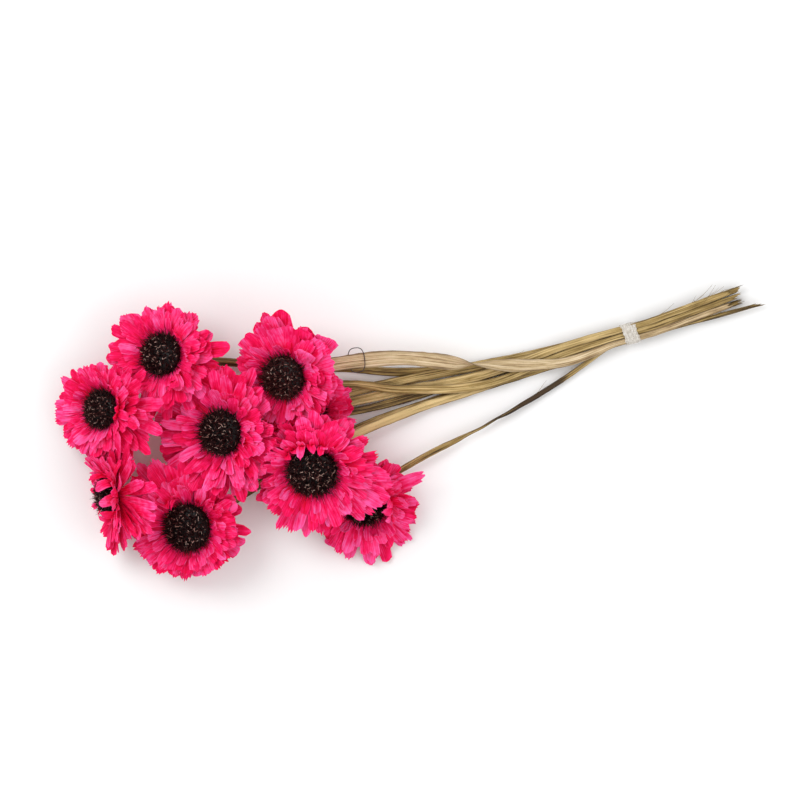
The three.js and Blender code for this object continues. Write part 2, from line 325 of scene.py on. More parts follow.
def straw_material(name, dark, mid, pale, warm=0.0):
    """Dried flat stem: long fibres, dark streaks between them, blotches, specks, a faint green cast and painted shade
    along its edges.
    """
    m = Nodes(name, specular=0.4, Roughness=0.65)
    grain = m.value("grain", "Vector")
    fibres = m.noise(grain, 2.4, 0.035, 4.0, 0.6)
    streaks = m.noise(grain, 0.9, 0.012, 2.0)
    blotch = m.noise(grain, 0.3, 0.06, 3.0, 0.6)
    shade = m.weighted((fibres, 1.1), (streaks, 1.1), (blotch, 0.5), (m.value("tone"), 0.5))
    shade = m.math("SUBTRACT", shade, 1.1)
    colour = m.ramp(shade, [(0.2, dark), (0.45, mid), (0.76, pale)])
    green = m.remap(m.noise(grain, 0.2, 0.02, 2.0), -0.35 + warm, 0.75 + warm)
    colour = m.mix(green, colour, (0.30, 0.235, 0.07), "MULTIPLY")
    speck = m.noise(grain, 2.2, 0.6, 2.0)
    spots = m.ramp(speck, [(0.66, (0, 0, 0)), (0.72, (1, 1, 1))])
    colour = m.mix(m.math("MULTIPLY", spots, 0.65), colour, (0.06, 0.035, 0.018))
    # painted shade: the strap darkens along its rolled edges through the rim value
    colour = m.mix(m.math("MULTIPLY", m.value("rim"), 0.7), colour, (0.16, 0.10, 0.045), "MULTIPLY")
    m.drive("Base Color", colour)
    m.drive("Roughness", m.remap(fibres, 0.5, 0.8))
    normal = m.bump(fibres, 0.7, 0.45 * MM)
    m.drive("Normal", m.bump(blotch, 0.3, 0.6 * MM, onto=normal))
    return m.material


def calyx_material():
    """Dry green-brown bracts under a flower."""
    m = Nodes("dry_bract", Roughness=0.7)
    ribs = m.noise(m.value("grain", "Vector"), 2.4, 0.1)
    shade = m.weighted((ribs, 0.7), (m.value("tone"), 0.4))
    dark, mid, pale = (0.06, 0.035, 0.015), (0.22, 0.15, 0.055), (0.42, 0.31, 0.14)
    m.drive("Base Color", m.ramp(shade, [(0.2, dark), (0.55, mid), (0.9, pale)]))
    m.drive("Roughness", m.remap(ribs, 0.55, 0.85))
    m.drive("Normal", m.bump(ribs, 0.6, 0.4 * MM))
    return m.material


def tape_material():
    """Clear tape gone milky where it is creased."""
    m = Nodes("creased_tape", Roughness=0.28)
    crease = m.noise(m.value("grain", "Vector"), 0.55, 0.4, 4.0, 0.65)
    m.drive("Base Color", m.ramp(crease, [(0.3, (0.56, 0.49, 0.4)), (0.6, (0.86, 0.82, 0.76))]))
    m.drive("Roughness", m.remap(crease, 0.18, 0.42))
    m.drive("Alpha", m.remap(crease, 0.3, 0.95))
    m.drive("Normal", m.bump(crease, 0.8, 0.6 * MM))
    return m.material


def wire_material():
    """Dull dark wire, paler in patches."""
    m = Nodes("florist_wire", Roughness=0.5, Metallic=0.7)
    patch = m.noise(m.value("grain", "Vector"), 0.8, 0.5)
    m.drive("Base Color", m.ramp(patch, [(0.35, (0.03, 0.028, 0.03)), (0.7, (0.12, 0.11, 0.115))]))
    m.drive("Roughness", m.remap(patch, 0.35, 0.65))
    return m.material


PETAL_OUTER = petal_material("dyed_petal_outer", (0.62, 0.0006, 0.020), (0.94, 0.008, 0.12), (1.0, 0.13, 0.43))
PETAL_INNER = petal_material("dyed_petal_inner", (0.70, 0.0008, 0.028), (0.97, 0.012, 0.14), (1.0, 0.16, 0.48))
BRISTLE = bristle_material()
CHAFF = chaff_material()
STRAW = straw_material("dried_stem", (0.055, 0.027, 0.005), (0.37, 0.245, 0.073), (0.76, 0.57, 0.27))
STRAW_PALE = straw_material(
    "dried_stem_pale", (0.16, 0.085, 0.032), (0.50, 0.36, 0.185), (0.82, 0.67, 0.45), warm=-0.25
)
BRACT = calyx_material()
TAPE = tape_material()
WIRE = wire_material()


# -------------------- flower heads


SINK = 0.3  # mm that a drawn head is set behind the back of its CAD disc
DISC_MIDDLE = 6  # mm from there to the middle of the disc's height


def head_of(number):
    """A head's centre, its axes (across, across, out of its face) as columns, and its size beside a standard head."""
    points, triangles = node_points(f"seed_disc_{number}")
    corners = points[triangles]
    areas = np.cross(corners[:, 1] - corners[:, 0], corners[:, 2] - corners[:, 0]) / 2
    normals = unit(areas)
    best = max(normals, key=lambda n: np.linalg.norm(areas[(normals @ n) > 0.999], axis=1).sum())
    axis = unit(areas[(normals @ best) > 0.999].sum(0))
    if (points.mean(0) - corners[(normals @ best) > 0.999].mean((0, 1))) @ axis < 0:
        axis = -axis
    heights = points @ axis
    base = points[heights < heights.min() + 1e-5]
    centre = base.mean(0)
    size = np.linalg.norm(base - centre, axis=1).max() / STANDARD_DISC
    across = unit(np.array([1.0, 0, 0]) - axis[0] * axis)
    return centre - SINK * MM * size * axis, np.column_stack([across, np.cross(axis, across), axis]), size


HEAD = {n: head_of(n) for n in HEADS}
ALONG, ACROSS = 10, 9  # points along and across a petal
PETAL_FACES = sheet_faces(ALONG, ACROSS)


def place_in_head(number, local):
    """Points in a head's own frame, in millimetres of a standard head, to the row frame."""
    centre, axes, size = HEAD[number]
    return centre + (local * MM * size) @ axes.T


KEEP_OFF_RADIUS, KEEP_OFF_HEIGHT = 19.0, 12.5  # of the dome over a disc that petals of other heads stay out of


def keep_off_discs(number, points):
    """Petal points that would run into the seed disc of another head are pushed out of it."""
    for other in HEADS:
        if other == number:
            continue
        centre, axes, size = HEAD[other]
        local = (points - centre) @ axes / (MM * size)
        radial = np.linalg.norm(local[..., :2], axis=-1)
        dome = KEEP_OFF_HEIGHT * np.sqrt(np.clip(1 - (radial / KEEP_OFF_RADIUS) ** 2, 0, 1)) + 1
        inside = (radial < KEEP_OFF_RADIUS - 0.5) & (local[..., 2] > -4) & (local[..., 2] < dome)
        local[..., 2] = np.where(inside, dome, local[..., 2])
        points = np.where(inside[..., None], centre + (local * MM * size) @ axes.T, points)
    return points


PETAL_THICKNESS, BRACT_THICKNESS = 0.28, 0.4


def petal_sheets(number, p, thickness=PETAL_THICKNESS):
    """Points (upper then lower grid of each petal) and attribute values for petals given as arrays of numbers."""
    s = np.linspace(0, 1, ALONG)[None, :, None]
    w = np.linspace(-1, 1, ACROSS)[None, None, :]
    g = {k: np.asarray(v, float)[:, None, None] for k, v in p.items()}
    n = len(p["turn"])
    edge = g["point"] * np.abs(w - g["lop"]) ** 1.7 + g["tooth"] * np.cos(g["teeth"] * math.pi * w + g["phase"])
    s = s * (1 - s**3 * edge)
    bend = np.where(np.abs(g["bend"]) < 0.02, 0.02, g["bend"])
    slope = g["slope"] + bend * s
    out = g["length"] * (np.sin(slope) - np.sin(g["slope"])) / bend
    rise = g["length"] * (np.cos(g["slope"]) - np.cos(slope)) / bend
    broad = g["neck"] + (1 - g["neck"]) * smoothstep(s / 0.6)
    broad = broad * (1 - g["taper"] * np.clip((s - 0.62) / 0.38, 0, 1) ** 2)
    side = g["half"] * broad * w
    lift = g["cup"] * w**2 * broad
    lift = lift + g["pleat"] * np.cos(math.pi * g["pleats"] * w + g["phase"]) * smoothstep(s * 2.5) * (1 - 0.35 * s)
    lift = lift + g["roll"] * side
    lift = lift + g["ruffle"] * s**1.5 * np.sin(2 * math.pi * (1.4 * s + 0.7 * w) + g["phase2"])
    lift = lift + g["curl"] * np.clip((s - 0.5) / 0.5, 0, 1) ** 2
    side = side + 0.25 * g["ruffle"] * np.sin(2 * math.pi * 2.1 * s + g["phase"])
    turn = g["twist"] * s
    side, lift = side * np.cos(turn) - lift * np.sin(turn), side * np.sin(turn) + lift * np.cos(turn)
    side = side + g["sway"] * s**2 + np.tan(g["splay"]) * out
    radial = g["root"] + out - lift * np.sin(slope)
    height = g["base"] + rise + lift * np.cos(slope)
    c, t = np.cos(g["turn"]), np.sin(g["turn"])
    local = np.stack([radial * c - side * t, radial * t + side * c, height + 0 * side], axis=-1)
    world = place_in_head(number, local)
    world = keep_off_discs(number, world)
    low = FLOOR_CLEARANCE + 0.25 * MM * np.abs(np.sin(g["phase"] + 3 * s))
    world[..., 2] = np.maximum(world[..., 2], low + 0 * world[..., 2])
    tall = np.maximum(world[..., 2] - CEILING, 0)
    world[..., 2] = world[..., 2] - tall + tall / (1 + tall / (4 * MM))
    normal = unit(np.cross(np.gradient(world, axis=1), np.gradient(world, axis=2)))
    half = thickness * MM * HEAD[number][2] / 2
    points = np.stack([world + normal * half, world - normal * half], axis=1).reshape(n, -1, 3)
    ones = np.ones((n, 2, ALONG, ACROSS))
    grain = np.stack([ones * v[:, None] for v in (side, s * g["length"], g["tone"] * 97)], axis=-1)
    return points, {
        "grain": grain.reshape(n, -1, 3),
        "tone": (ones * g["tone"][:, None]).reshape(n, -1),
        # reach: painted shade near the root, painted highlight towards the tip and edges
        "reach": (ones * (0.8 * s + 0.45 * np.abs(w) ** 5)[:, None]).reshape(n, -1),
    }


def add_petals(pile, number, p, **options):
    points, values = petal_sheets(number, p, **options)
    for i in range(len(points)):
        pile.add(points[i], PETAL_FACES, **{k: v[i] for k, v in values.items()})


# Rows of petals from the outermost in: number, root radius and height, length, slope and bend in degrees, half width
ROWS = [
    dict(count=20, root=11.5, base=-2.4, length=30.5, slope=1, bend=4, half=5.2),
    dict(count=20, root=12.0, base=-1.3, length=29.5, slope=8, bend=2, half=5.1),
    dict(count=21, root=12.8, base=-0.2, length=28.0, slope=17, bend=-3, half=4.7),
    dict(count=21, root=14.6, base=0.9, length=24.0, slope=27, bend=-10, half=4.2),
    dict(count=20, root=16.6, base=1.6, length=18.5, slope=40, bend=-20, half=3.7),
    dict(count=17, root=18.3, base=2.2, length=12.5, slope=56, bend=-14, half=3.1),
]
SHARE_OF_REACH = [1.0, 0.95, 0.85, 0.65, 0.35, 0.1]  # how much of a head's uneven reach each row follows

# How far each head's outer petals reach over the floor from the middle of its disc, in mm,
# towards the camera's right, top, left and bottom
REACH = {
    1: (43, 37, 39, 48), 2: (47, 35, 32, 38), 3: (44, 38, 20, 43), 4: (44, 40, 43, 37), 5: (44, 53, 47, 53),
    6: (45, 52, 32, 38), 7: (49, 45, 40, 45), 8: (41, 41, 36, 41), 9: (34, 33, 36, 36),
}

DISC_SCALE = {1: 1.04, 2: 1.06, 3: 1.05, 4: 1.12, 5: 1.04, 6: 1.05, 7: 1.13}  # seed discs that are broader than most
# A side of a head with fewer, broader petals: compass direction, half its spread, how much broader
BROAD = {6: (30, 62, 1.55), 5: (90, 35, 1.25)}


def flat_directions(number, turn):
    """Where petals at these angles about a head point over the floor, shorter the more the head leans that way."""
    axes = HEAD[number][1]
    return (np.cos(turn)[:, None] * axes[:, 0] + np.sin(turn)[:, None] * axes[:, 1])[:, :2]


def length_to_reach(number, turn, reach, root):
    """How long petals at these angles are, in mm of a standard head, that reach so far from the middle of the disc."""
    _, axes, size = HEAD[number]
    flat = flat_directions(number, turn)
    wanted = reach + DISC_MIDDLE * size * (unit(flat) @ axes[:2, 2])
    return wanted / np.linalg.norm(flat, axis=1) / size - root


def reach_gain(number, turn):
    """For petals at these angles about a head, how much longer than a standard one they are to reach far enough."""
    flat = flat_directions(number, turn)
    quarter = ((np.degrees(np.arctan2(flat[:, 1], flat[:, 0])) - CAMERA_TURN) % 360) / 90
    i = quarter.astype(int) % 4
    t = smoothstep(quarter - np.floor(quarter))
    table = np.array(REACH[number], float)
    reach = table[i] * (1 - t) + table[(i + 1) % 4] * t
    return length_to_reach(number, turn, reach, ROWS[0]["root"]) / ROWS[0]["length"]


def turn_to(number, compass):
    """The angles about a head that face these compass directions."""
    axes = HEAD[number][1]
    direction = np.stack([np.cos(np.radians(compass)), np.sin(np.radians(compass))], axis=-1)
    return np.arctan2(direction @ axes[:2, 1], direction @ axes[:2, 0])


def off_direction(around, towards):
    """How far angles are from a direction, in degrees either way."""
    return (np.degrees(around) - towards + 180) % 360 - 180


def row_of(rng, row, number, ragged=1.0, follow=0.0):
    """A row of uneven petals as arrays of numbers, one of each for every petal."""
    n = row["count"]
    around = (np.arange(n) + rng.uniform(-0.32, 0.32, n)) * 2 * math.pi / n + rng.uniform(0, 2 * math.pi)
    spread = lambda a: rng.uniform(-a, a, n)
    near = row["root"] > 14
    size = DISC_SCALE.get(number, 1)
    gain = 1 + (reach_gain(number, around) - 1) * follow if follow else np.ones(n)
    p = dict(
        turn=around,
        root=row["root"] + (size - 1) * (18 if near else 6) + spread(0.5),
        base=row["base"] + spread(0.5),
        length=row["length"] * gain * (1 + rng.uniform(-0.12, 0.06, n) * ragged),
        slope=np.radians(row["slope"] + spread(8) * ragged),
        bend=np.radians(row["bend"] + spread(16) * ragged * (2.2 if near else 1)),
        half=row["half"] * (1 + spread(0.2)),
        neck=rng.uniform(0.45, 0.65, n),
        taper=rng.uniform(0.05, 0.35, n),
        point=rng.uniform(0.03, 0.16, n),
        lop=spread(0.35),
        tooth=rng.uniform(0.0, 0.05, n) * rng.choice([0, 1, 1], n),
        teeth=rng.uniform(2.4, 4.6, n),
        phase=rng.uniform(0, 2 * math.pi, n),
        phase2=rng.uniform(0, 2 * math.pi, n),
        cup=rng.uniform(-1.0, 1.3, n),
        pleat=rng.uniform(0.15, 0.6, n) * (1.25 if near else 1),
        pleats=rng.uniform(1.6, 3.4, n),
        roll=spread(0.2),
        ruffle=rng.uniform(0.1, 0.8, n) * ragged,
        curl=rng.normal(0.2, 1.1, n) * ragged,
        twist=np.radians(spread(20)) * ragged,
        splay=np.radians(spread(9)) * ragged,
        sway=rng.normal(0, 1.2, n) * ragged,
        tone=rng.uniform(0, 1, n),
    )
    if number in BROAD and follow > 0.2:
        towards, spread_deg, factor = BROAD[number]
        side = np.abs(off_direction(around, towards)) < spread_deg
        p["half"] = np.where(side, p["half"] * factor, p["half"])
        p["cup"] = np.where(side, np.abs(p["cup"]) * -2.0, p["cup"])
        p["pleats"] = np.where(side, p["pleats"] * factor, p["pleats"])
        p["ruffle"] = np.where(side, p["ruffle"] * 0.5, p["ruffle"])
        kept = ~side | (np.cumsum(side) % 3 != 0)
        p = {k: np.asarray(v)[kept] for k, v in p.items()}
    if number in BENT_BACK and follow > 0:
        towards, spread_deg = BENT_BACK[number]
        back = smoothstep((spread_deg - np.abs(off_direction(around, towards))) / 25)
        p["slope"] = p["slope"] - back * math.radians(58 if near else 42)
    return p


# Single long petals that stick out of a head: compass direction, reach from the middle of the disc, half width,
# slope, and how narrow the petal is at its root
STRAYS = {
    1: [(-12, 54, 6.4, 2, 0.35), (52, 39, 5.5, 20, 0.6)],
    2: [(-16, 51, 5.6, 4, 0.5), (-32, 53, 5.6, 2, 0.5), (-46, 51, 5.4, 2, 0.5), (-62, 46, 5.2, 2, 0.5)],
    3: [
        (44, 44, 5.4, 2, 0.5), (18, 44, 5.4, -4, 0.5), (30, 52, 5.6, 2, 0.5), (60, 46, 5.4, 4, 0.5),
        (-22, 46, 5.4, 0, 0.5),
    ],
    4: [
        (30, 46, 5.0, 8, 0.5), (106, 55, 5.4, 10, 0.5), (88, 50, 5.2, 12, 0.5), (124, 56, 5.4, 8, 0.5),
        (12, 46, 5.0, 10, 0.5), (97, 58, 5.6, 7, 0.5), (115, 60, 5.4, 6, 0.5), (136, 50, 5.2, 5, 0.5),
        (76, 52, 5.2, 9, 0.5),
    ],
    5: [
        (92, 54, 6.6, 20, 0.5), (66, 51, 6.2, 24, 0.5), (118, 46, 5.4, 12, 0.5), (-82, 55, 5.2, 2, 0.5),
        (-68, 52, 5.0, 2, 0.5),
    ],
    6: [
        (80, 52, 7.0, 20, 0.6), (56, 46, 7.2, 24, 0.6), (20, 46, 8.0, 16, 0.75), (3, 44, 8.0, 12, 0.75),
        (-15, 42, 8.0, 8, 0.75), (-34, 41, 7.4, 4, 0.7), (-54, 40, 7.0, 2, 0.7), (36, 46, 7.6, 20, 0.7),
    ],
    7: [
        (-18, 58, 5.6, 6, 0.6), (-29, 60, 5.8, 4, 0.6), (-38, 60, 5.8, 4, 0.6), (-46, 57, 5.6, 6, 0.6),
        (-54, 54, 5.4, 6, 0.6), (-64, 51, 5.2, 4, 0.6), (200, 46, 4.8, 2, 0.6), (228, 48, 4.6, 2, 0.6),
        (56, 47, 5.8, 14, 0.7), (68, 49, 5.8, 12, 0.7), (80, 48, 5.6, 12, 0.7),
    ],
    8: [(22, 57, 6.6, 20, 0.35), (-60, 42, 4.0, 6, 0.5)],
}
# Petals that fold in over the rim of the disc: compass direction, length, half width
FOLDED = {
    3: [(-58, 15, 4.2), (-34, 17, 4.6), (-10, 18, 4.8), (14, 18, 4.8), (38, 17, 4.6), (62, 15, 4.2)],
    4: [(90, 19, 1.5), (110, 13, 2.6)],
    7: [(56, 9, 2.8), (74, 11, 3.0), (88, 15, 3.0), (105, 10, 2.8), (120, 9, 2.8)],
    8: [(-30, 14, 4.4), (-8, 17, 4.8), (14, 18, 5.0), (36, 18, 5.0), (60, 17, 4.6), (84, 14, 4.2)],
    9: [
        (-60, 14, 4.6), (-85, 14, 4.6), (150, 15, 5.0), (175, 16, 5.0), (200, 16, 5.0), (225, 15, 5.0),
        (250, 14, 4.6), (125, 14, 4.6),
    ],
}
# A side of a head where the petals fold back behind it: compass direction and half its spread
BENT_BACK = {3: (172, 80)}


def stray_petals(rng, number):
    row = dict(ROWS[1], count=len(STRAYS[number]))
    p = row_of(rng, row, number, ragged=0.4)
    compass, reach, half, slope, neck = (np.array(c, float) for c in zip(*STRAYS[number]))
    p["turn"] = turn_to(number, compass)
    p["length"] = length_to_reach(number, p["turn"], reach, row["root"])
    p["half"], p["slope"], p["neck"] = half, np.radians(slope), neck
    p["taper"], p["point"] = p["taper"] * 0.6, np.full(len(half), 0.12)
    return p


def folded_petals(rng, number):
    row = dict(ROWS[-1], count=len(FOLDED[number]))
    p = row_of(rng, row, number, ragged=0.5)
    compass, length, half = (np.array(c, float) for c in zip(*FOLDED[number]))
    p["turn"] = turn_to(number, compass)
    p["root"], p["base"] = p["root"] + 0.8, p["base"] + 2.5
    p["length"], p["half"] = length, half
    p["slope"], p["bend"] = np.radians(rng.uniform(58, 72, len(half))), np.radians(rng.uniform(50, 95, len(half)))
    p["curl"], p["point"], p["neck"] = p["curl"] * 0, rng.uniform(0.2, 0.45, len(half)), np.full(len(half), 0.8)
    p["sway"], p["cup"] = rng.normal(0, 2.2, len(half)), rng.uniform(-1.6, -0.4, len(half))
    return p


def build_petals(number):
    rng = np.random.default_rng(100 + number)
    outer, inner = Pile(), Pile()
    for k, row in enumerate(ROWS):
        add_petals(outer if k < 3 else inner, number, row_of(rng, row, number, follow=SHARE_OF_REACH[k]))
    if number in STRAYS:
        add_petals(outer, number, stray_petals(rng, number))
    if number in FOLDED:
        add_petals(inner, number, folded_petals(rng, number))
    outer.build(f"petals_outer_{number}", PETAL_OUTER, stands_for=[f"outer_petals_{number}"], slot="petal_outer")
    inner.build(f"petals_inner_{number}", PETAL_INNER, stands_for=[f"inner_petals_{number}"], slot="petal_inner")


# -------------------- seed discs


NEEDLE_SIDES, NEEDLE_RINGS = 4, 5
NEEDLE_FACES = np.array(tube_faces(NEEDLE_RINGS, NEEDLE_SIDES) + end_faces(NEEDLE_RINGS, NEEDLE_SIDES))
DOME_RADIUS = 15.4  # of the part of a standard disc that carries bristles, in mm


def needles(roots, directions, bends, lengths, thick_root, thick_tip):
    """Points of tapered curved needles, from their roots, in the frame the roots are in."""
    n = len(roots)
    s = np.linspace(0, 1, NEEDLE_RINGS)[None, :, None]
    reach = lengths[:, None, None]
    middle = roots[:, None] + directions[:, None] * reach * s + bends[:, None] * reach * s**2
    along = unit(directions[:, None] + 2 * bends[:, None] * s)
    helper = np.where(np.abs(along[..., 2:3]) < 0.9, np.array([0, 0, 1.0]), np.array([1.0, 0, 0]))
    a = unit(np.cross(along, helper))
    b = np.cross(along, a)
    width = (thick_root[:, None] * (1 - s[..., 0]) + thick_tip[:, None] * s[..., 0]) / 2
    angle = (np.arange(NEEDLE_SIDES) * 2 * math.pi / NEEDLE_SIDES)[None, None, :, None]
    ring = a[:, :, None] * np.cos(angle) + b[:, :, None] * np.sin(angle)
    points = middle[:, :, None] + ring * width[:, :, None, None]
    return points.reshape(n, NEEDLE_RINGS * NEEDLE_SIDES, 3)


def add_needles(pile, number, roots, directions, bends, lengths, thick_root, thick_tip, tones, seeds, share=1.0):
    """Adds needles to a head, each with its own tone and grain, and browner towards its tip by a share."""
    world = place_in_head(number, needles(roots, directions, bends, lengths, thick_root, thick_tip))
    reach = np.repeat(np.linspace(0, 1, NEEDLE_RINGS), NEEDLE_SIDES)
    ones = np.ones(len(reach))
    for i, tone in enumerate(tones):
        grain = np.column_stack([ones * (i * seeds[0]), reach * lengths[i], ones * (i * seeds[1])])
        pile.add(world[i], NEEDLE_FACES, grain=grain, tone=ones * tone, reach=reach * share)


def dome_points(rng, count, radius, height, jitter=0.6):
    """Evenly scattered points on a dome, and the direction straight out of it at each."""
    k = np.arange(count) + 0.5
    r = radius * np.sqrt(k / count)
    angle = k * math.pi * (3 - 5**0.5)
    x, y = r * np.cos(angle), r * np.sin(angle)
    x, y = x + rng.normal(0, jitter, count), y + rng.normal(0, jitter, count)
    share = np.clip(np.hypot(x, y) / radius, 0, 0.999)
    z = height * np.sqrt(1 - share**2.4)
    out = unit(np.stack([x / radius**2, y / radius**2, np.maximum(z, 0.4) / height**2 * 0.8], axis=-1))
    return np.stack([x, y, z + 1.2], axis=-1), out


def add_dome(rng, pile, number, wide):
    """The dark domed body that the bristles stand on."""
    steps, rounds = 9, 28
    arc = np.linspace(0, math.pi / 2 * 0.96, steps)
    profile = [(14.0, -0.6)] + [(DOME_RADIUS * wide * math.cos(a), 1.0 + 7.5 * math.sin(a)) for a in arc]
    angle = np.arange(rounds) * 2 * math.pi / rounds
    rings = np.array([[(r * math.cos(t), r * math.sin(t), z) for t in angle] for r, z in profile])
    rings += rng.normal(0, 0.12, rings.shape)
    points = rings.reshape(-1, 3)
    flat = np.zeros(len(points))
    faces, ends = tube_faces(len(profile), rounds), end_faces(len(profile), rounds)
    pile.add(place_in_head(number, points), faces, ends, grain=points, tone=flat, reach=flat)


def add_bristles(rng, pile, number, wide):
    count, radius = int(620 * wide**2), (DOME_RADIUS - 0.2) * wide
    roots, out = dome_points(rng, count, radius, 6.6)
    lean = unit(out + rng.normal(0, 0.3, out.shape))
    lengths = rng.uniform(3.6, 6.2, count)
    lengths = lengths * np.where(np.hypot(roots[:, 0], roots[:, 1]) / radius > 0.85, 0.85, 1)
    bends = rng.normal(0, 0.22, out.shape)
    thick_root, thick_tip = rng.uniform(0.75, 1.15, count), rng.uniform(0.12, 0.3, count)
    tones = rng.uniform(0, 1, count) + 0.5 * (number == 6)
    add_needles(pile, number, roots, lean, bends, lengths, thick_root, thick_tip, tones, (0.37, 1.7))


def add_rim_hairs(rng, pile, number, wide):
    """Fine hairs that stick out round the rim of the disc."""
    count, radius = 60, (DOME_RADIUS - 0.1) * wide
    turn = rng.uniform(0, 2 * math.pi, count)
    roots = np.stack([radius * np.cos(turn), radius * np.sin(turn), rng.uniform(2.5, 6, count)], axis=-1)
    out = np.stack([np.cos(turn), np.sin(turn), rng.uniform(0.15, 1.0, count)], axis=-1)
    out = unit(out + rng.normal(0, 0.18, out.shape))
    lengths = rng.uniform(4.5, 7.5, count)
    bends = rng.normal(0, 0.2, out.shape)
    thick_root, thick_tip, tones = (np.full(count, v) for v in (0.42, 0.1, 0.2))
    add_needles(pile, number, roots, out, bends, lengths, thick_root, thick_tip, tones, (0.61, 2.3), share=0.4)


def add_chaff(rng, pile, number, wide):
    count = int(84 * wide**2)
    roots, out = dome_points(rng, count, DOME_RADIUS * wide, 10.0, jitter=1.2)
    roots = roots + out * rng.uniform(-0.5, 1.1, count)[:, None]
    sweep = unit(np.cross(out, rng.normal(0, 1, out.shape)) + out * rng.uniform(-0.1, 0.9, (count, 1)))
    lengths = rng.uniform(1.0, 2.9, count)
    bends = rng.normal(0, 0.13, out.shape)
    thick_root, thick_tip = rng.uniform(0.4, 0.78, count), rng.uniform(0.2, 0.4, count)
    tones = rng.uniform(0, 1, count)
    add_needles(pile, number, roots, sweep, bends, lengths, thick_root, thick_tip, tones, (0.61, 2.3))


def build_disc(number):
    rng = np.random.default_rng(200 + number)
    wide = DISC_SCALE.get(number, 1)
    disc, chaff = Pile(), Pile()
    add_dome(rng, disc, number, wide)
    add_bristles(rng, disc, number, wide)
    add_rim_hairs(rng, disc, number, wide)
    disc.build(f"seed_bristles_{number}", BRISTLE, stands_for=[f"seed_disc_{number}"], slot="seed")
    add_chaff(rng, chaff, number, wide)
    chaff.build(f"seed_chaff_{number}", CHAFF, slot="seed")


# -------------------- receptacles


# Radius and height of the cone under a head, from its stem up
CONE = [
    (2.6, -14.9), (3.2, -14.0), (5.6, -11.0), (8.6, -7.0), (11.2, -4.2), (13.4, -3.1), (14.2, -2.4), (13.0, -0.8),
    (9.0, -0.6),
]
BRACT_ROWS = [
    dict(count=13, root=3.0, base=-14.6, length=12.5, slope=62, bend=-22, half=1.9),
    dict(count=16, root=5.0, base=-12.2, length=13.0, slope=55, bend=-28, half=2.0),
    dict(count=19, root=7.6, base=-9.2, length=11.5, slope=50, bend=-34, half=1.9),
]


def build_calyx(number):
    """A ribbed cone under the petals, wrapped in rows of narrow dry bracts."""
    rng = np.random.default_rng(300 + number)
    pile = Pile()
    rounds = 36
    angle = np.arange(rounds) * 2 * math.pi / rounds
    rib = 0.25 * np.cos(12 * angle)
    points = np.concatenate([
        np.column_stack([(r + rib) * np.cos(angle), (r + rib) * np.sin(angle), np.full(rounds, z)]) for r, z in CONE
    ])
    flat = np.zeros(len(points))
    grain = np.column_stack([np.tile(angle, len(CONE)) * 8, points[:, 2], flat])
    world = place_in_head(number, points)
    world[:, 2] = np.maximum(world[:, 2], 0.3 * MM)
    faces, ends = tube_faces(len(CONE), rounds), end_faces(len(CONE), rounds)
    pile.add(world, faces, ends, grain=grain, tone=flat + 0.3, reach=flat)
    for row in BRACT_ROWS:
        count = row["count"]
        p = row_of(rng, row, number, ragged=0.35)
        for key, value in (("root", row["root"]), ("base", row["base"]), ("neck", 0.8), ("taper", 0.75)):
            p[key] = np.full(count, value)
        p["pleat"] = rng.uniform(0.1, 0.22, count)
        p["cup"] = rng.uniform(-0.5, -0.1, count)
        p["roll"] = p["roll"] * 0.3
        add_petals(pile, number, p, thickness=BRACT_THICKNESS)
    pile.build(f"receptacle_{number}", BRACT, stands_for=[f"calyx_{number}"], slot="calyx")


# -------------------- stems


def rings_of(name):
    """The four-cornered rings of a CAD strap from its cut end to its flower: middle, wide axis, half sizes."""
    points, triangles = node_points(name)
    linked = [set() for _ in points]
    for a, b, c in triangles:
        linked[a] |= {b, c}
        linked[b] |= {a, c}
        linked[c] |= {a, b}
    ring = list(np.argsort(-points[:, 0])[:4])
    seen, rings = set(ring), [ring]
    while True:
        following = {k for r in rings[-1] for k in linked[r]} - seen
        if not following:
            break
        rings.append(sorted(following))
        seen |= following
    middles, wides, halves = [], [], []
    for ring in rings:
        if len(ring) != 4:
            continue
        p = points[ring]
        gaps = np.linalg.norm(p[1:] - p[0], axis=1)
        order = np.argsort(gaps)
        middles.append(p.mean(0))
        wides.append(unit(p[1 + order[1]] - p[0]))
        halves.append((gaps[order[1]] / 2, gaps[order[0]] / 2))
    wides = np.array(wides)
    for i in range(len(wides)):
        before = wides[i - 1] if i else np.array([0, 1.0, 0])
        if wides[i] @ before < 0:
            wides[i] = -wides[i]
    return np.array(middles), wides, np.array(halves)


# How each strap looks: its width beside the CAD strap's, how deep its trough is in mm, and its finish
STRAP_LOOKS = {
    1: dict(broad=1.0, trough=0.5, tone=0.25), 2: dict(broad=1.05, trough=0.35, tone=0.55),
    3: dict(broad=1.1, trough=-0.5, tone=0.75), 4: dict(broad=1.0, trough=0.45, tone=0.35),
    5: dict(broad=1.1, trough=0.4, tone=0.5), 6: dict(broad=1.04, trough=0.3, tone=0.5, pale=True),
    7: dict(broad=1.0, trough=0.55, tone=0.95), 8: dict(broad=0.72, trough=0.6, tone=0.4, dark=(150, 235)),
    9: dict(broad=0.95, trough=-0.35, tone=0.1),
}
STRAP_SIDES = 15  # points across one face of a strap
STRAP_STEP = 2.2 * MM
STRAP_FLOOR = 0.15 * MM


